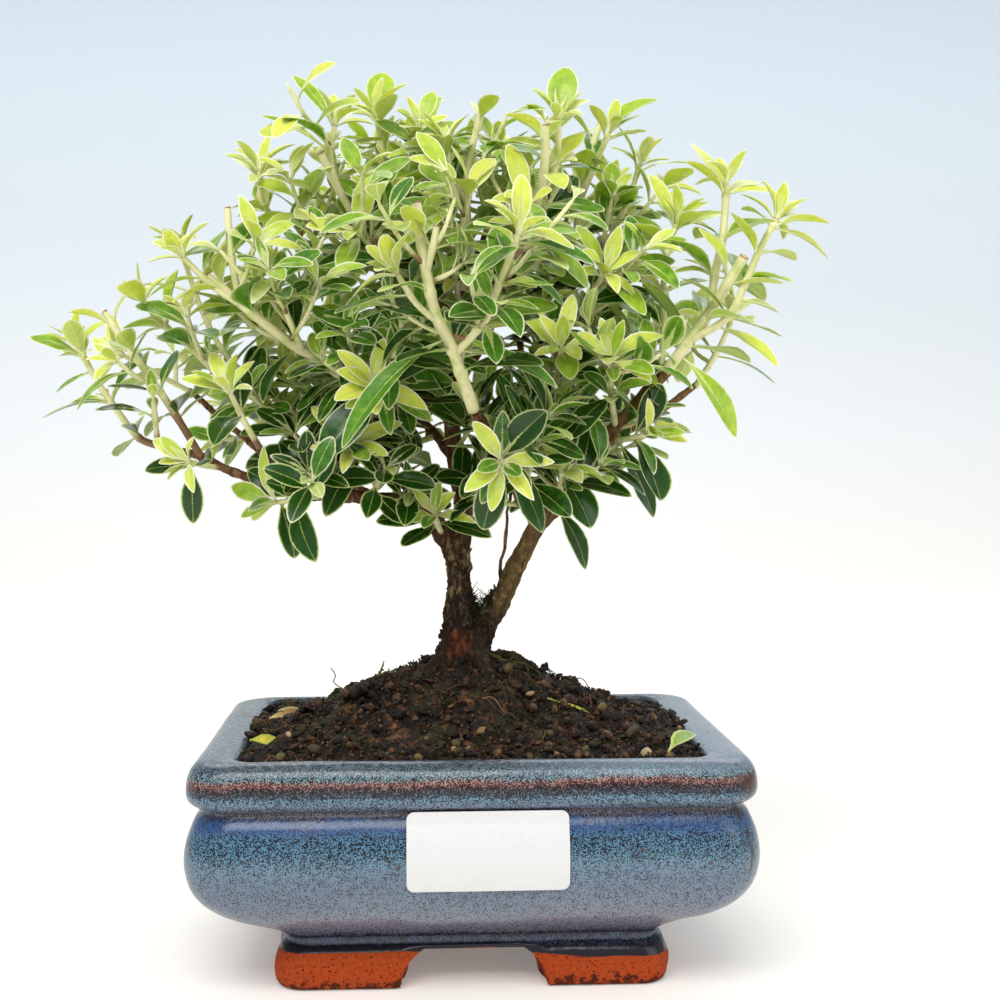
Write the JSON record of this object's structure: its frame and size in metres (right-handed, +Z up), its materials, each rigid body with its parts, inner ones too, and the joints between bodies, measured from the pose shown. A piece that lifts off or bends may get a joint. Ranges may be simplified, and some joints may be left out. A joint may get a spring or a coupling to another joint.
{
  "type": "serissa bonsai in a glazed pot",
  "caption": "Small serissa bonsai with a forked trunk and variegated leafy stems, in mounded soil in a low oblong glazed pot on bare clay feet.",
  "frame": {"origin": "on the surface that the pot stands on, under the middle of the whole plant's box", "axes": "+Z up, X along the long side of the pot, and the front of the pot and its label face -Y"},
  "size_m": [0.1782, 0.1248, 0.2034],
  "materials": {
    "glaze": "speckled steel-blue stoneware glaze, glossy, thinning to brown on the edges, with bare terracotta feet",
    "soil": "dark crumbly potting mix with small pebbles and bits of moss",
    "bark": "rough grey-brown bark, red-brown and smoother on thin branches",
    "leaf": "glossy green leaves with cream edges, brighter and yellower on young growth, on pale green stems",
    "yellow_leaf": "wilted yellow leaf, satin",
    "brown_leaf": "dry brown leaf, matte",
    "label": "blank white satin sticker",
    "screen": "black moulded plastic mesh"
  },
  "bodies": {
    "root": {"drain_screen_left": "screen", "drain_screen_right": "screen", "fallen_leaf_brown": "brown_leaf", "fallen_leaf_green": "leaf", "fallen_leaf_tan": "yellow_leaf", "fallen_leaf_yellow": "yellow_leaf", "label": "label", "leafy_stem_back_left": "leaf", "leafy_stem_back_low": "leaf", "leafy_stem_back_middle": "leaf", "leafy_stem_back_right": "leaf", "leafy_stem_back_top": "leaf", "leafy_stem_far_left": "leaf", "leafy_stem_front": "leaf", "leafy_stem_left": "leaf", "leafy_stem_left_back": "leaf", "leafy_stem_left_inner": "leaf", "leafy_stem_left_low_middle_back": "leaf", "leafy_stem_left_middle": "leaf", "leafy_stem_left_pruned": "leaf", "leafy_stem_left_top_back": "leaf", "leafy_stem_low_far_left": "leaf", "leafy_stem_low_front": "leaf", "leafy_stem_low_left": "leaf", "leafy_stem_low_left_back": "leaf", "leafy_stem_low_middle_left": "leaf", "leafy_stem_low_right": "leaf", "leafy_stem_middle_left": "leaf", "leafy_stem_middle_left_low": "leaf", "leafy_stem_middle_right": "leaf", "leafy_stem_right_back": "leaf", "leafy_stem_right_inner": "leaf", "leafy_stem_right_low": "leaf", "leafy_stem_right_low_back": "leaf", "leafy_stem_right_of_top": "leaf", "leafy_stem_right_pruned": "leaf", "leafy_stem_right_top_back": "leaf", "leafy_stem_right_upright": "leaf", "leafy_stem_top_left": "leaf", "leafy_stem_top_left_pruned": "leaf", "leafy_stem_top_middle": "leaf", "leafy_stem_top_pruned": "leaf", "leafy_stem_top_right": "leaf", "leafy_stem_top_right_pruned": "leaf", "leafy_stem_upper_far_left": "leaf", "leafy_stem_upper_front_left": "leaf", "leafy_stem_upper_left": "leaf", "leafy_stem_upper_left_tip": "leaf", "leafy_stem_upper_middle_front": "leaf", "leafy_stem_upper_middle_right": "leaf", "leafy_stem_upper_right_front": "leaf", "pot": "glaze", "soil": "soil", "wood": "bark"}
  },
  "joints": []
}
